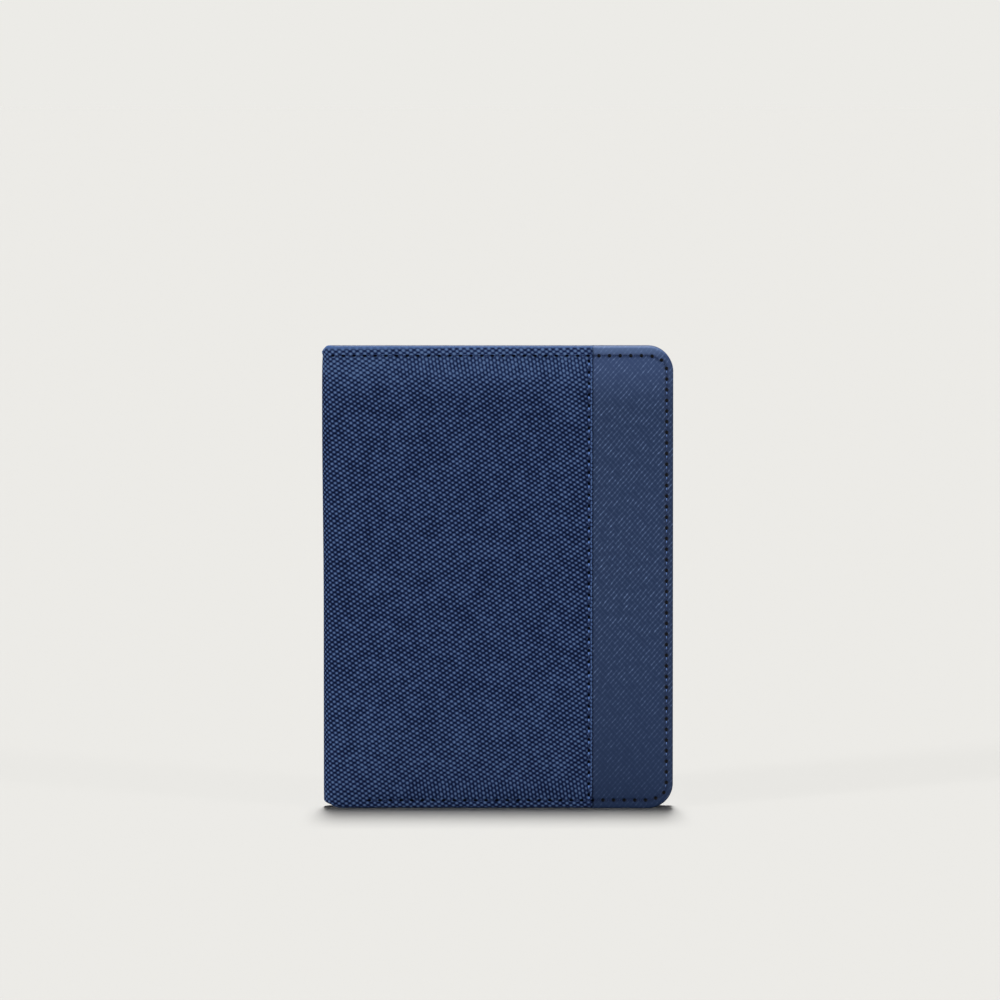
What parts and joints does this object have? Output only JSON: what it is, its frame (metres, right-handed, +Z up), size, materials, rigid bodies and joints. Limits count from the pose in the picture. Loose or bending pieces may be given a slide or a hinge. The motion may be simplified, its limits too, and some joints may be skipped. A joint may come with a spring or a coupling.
{
  "type": "passport holder",
  "caption": "Book-style passport holder: woven canvas cover with a cross-grain leather band along the opening edge, sewn all round, rounded outer corners, sleeves and card slots inside.",
  "frame": {"origin": "centre of the closed holder's footprint, on the surface it stands on", "axes": "closed and standing on its bottom edge: +X from the spine to the opening edge, -Y out of the front cover, +Z up"},
  "size_m": [0.1046, 0.0122, 0.138],
  "materials": {
    "canvas": "matte",
    "band_leather": "satin",
    "lining_leather": "satin",
    "sleeve_leather": "satin",
    "foam": "matte",
    "greyboard": "matte",
    "thread": "satin"
  },
  "bodies": {
    "back_cover": {"back_canvas": "canvas", "back_leather_band": "band_leather", "back_foam": "foam", "back_board": "greyboard", "back_lining": "lining_leather", "back_sleeve_hem": "sleeve_leather", "back_passport_sleeve": "sleeve_leather", "back_edge_stitching": "thread", "back_seam_stitching": "thread", "back_inner_stitching": "thread"},
    "spine": {"spine_canvas": "canvas", "spine_strip": "greyboard", "spine_lining": "lining_leather"},
    "front_cover": {"front_canvas": "canvas", "front_leather_band": "band_leather", "front_foam": "foam", "front_board": "greyboard", "front_lining": "lining_leather", "front_sleeve_hem": "sleeve_leather", "front_passport_sleeve": "sleeve_leather", "card_slot_inner": "sleeve_leather", "card_slot_middle": "sleeve_leather", "card_slot_outer": "sleeve_leather", "front_edge_stitching": "thread", "front_seam_stitching": "thread", "front_inner_stitching": "thread", "card_slot_stitching": "thread"}
  },
  "joints": [
    {"name": "spine_fold", "type": "hinge", "parent": "back_cover", "child": "spine", "pos_m": [-0.0514, 0.00525, 0.069], "axis": [0, 0, -1], "range_deg": [0, 90], "deforming": ["spine_canvas", "spine_lining"]},
    {"name": "front_fold", "type": "hinge", "parent": "spine", "child": "front_cover", "pos_m": [-0.0514, -0.00525, 0.069], "axis": [0, 0, -1], "range_deg": [0, 90], "deforming": ["spine_canvas", "spine_lining"]}
  ],
  "couplings": [
    {"joint": "front_fold", "follows": "spine_fold", "ratio": 1}
  ]
}
